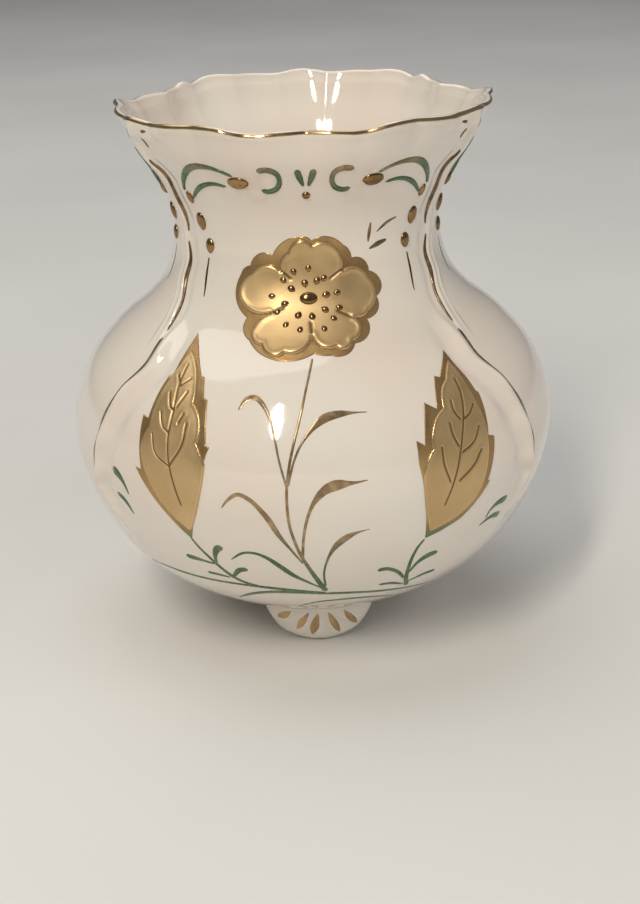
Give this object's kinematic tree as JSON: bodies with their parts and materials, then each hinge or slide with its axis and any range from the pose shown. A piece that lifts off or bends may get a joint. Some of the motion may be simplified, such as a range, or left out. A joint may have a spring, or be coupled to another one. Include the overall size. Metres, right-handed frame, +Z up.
{
  "type": "porcelain vase",
  "caption": "Round-bellied porcelain vase with a scalloped flared rim, shell feet and raised gilded flower decoration, for standing flowers in.",
  "frame": {"origin": "on the table under the middle of the body, where the feet rest", "axes": "+Z up along the vase's axis, -Y towards the decorated front, +X to the right seen from the front"},
  "size_m": [0.1604, 0.1608, 0.1776],
  "materials": {
    "porcelain": "glossy warm white glaze over porcelain, opaque",
    "bright_gold": "fired bright gold, mirror polished, a little worn",
    "matte_gold": "raised acid-etched gold, satin",
    "line_gilding": "thin brushed gold lustre, greenish towards the base"
  },
  "bodies": {
    "root": {"base_vine": "line_gilding", "bird_foot_mark": "line_gilding", "branch_left": "line_gilding", "branch_right": "line_gilding", "comma_strokes": "line_gilding", "corner_line_back": "line_gilding", "corner_line_left": "line_gilding", "corner_line_right": "line_gilding", "flower_border": "bright_gold", "flower_dots": "bright_gold", "flower_leaves": "line_gilding", "flower_petals": "matte_gold", "flower_stem": "line_gilding", "foot_dashes_front": "bright_gold", "foot_dashes_left": "bright_gold", "foot_dashes_right": "bright_gold", "foot_front": "porcelain", "foot_left": "porcelain", "foot_right": "porcelain", "leaf_border_left": "bright_gold", "leaf_border_right": "bright_gold", "leaf_face_left": "matte_gold", "leaf_face_right": "matte_gold", "neck_beads_front": "bright_gold", "neck_beads_left": "bright_gold", "neck_beads_right": "bright_gold", "neck_scroll_front": "line_gilding", "neck_scroll_left": "line_gilding", "neck_scroll_right": "line_gilding", "rim_gilding": "bright_gold", "vase_body": "porcelain"}
  },
  "joints": []
}
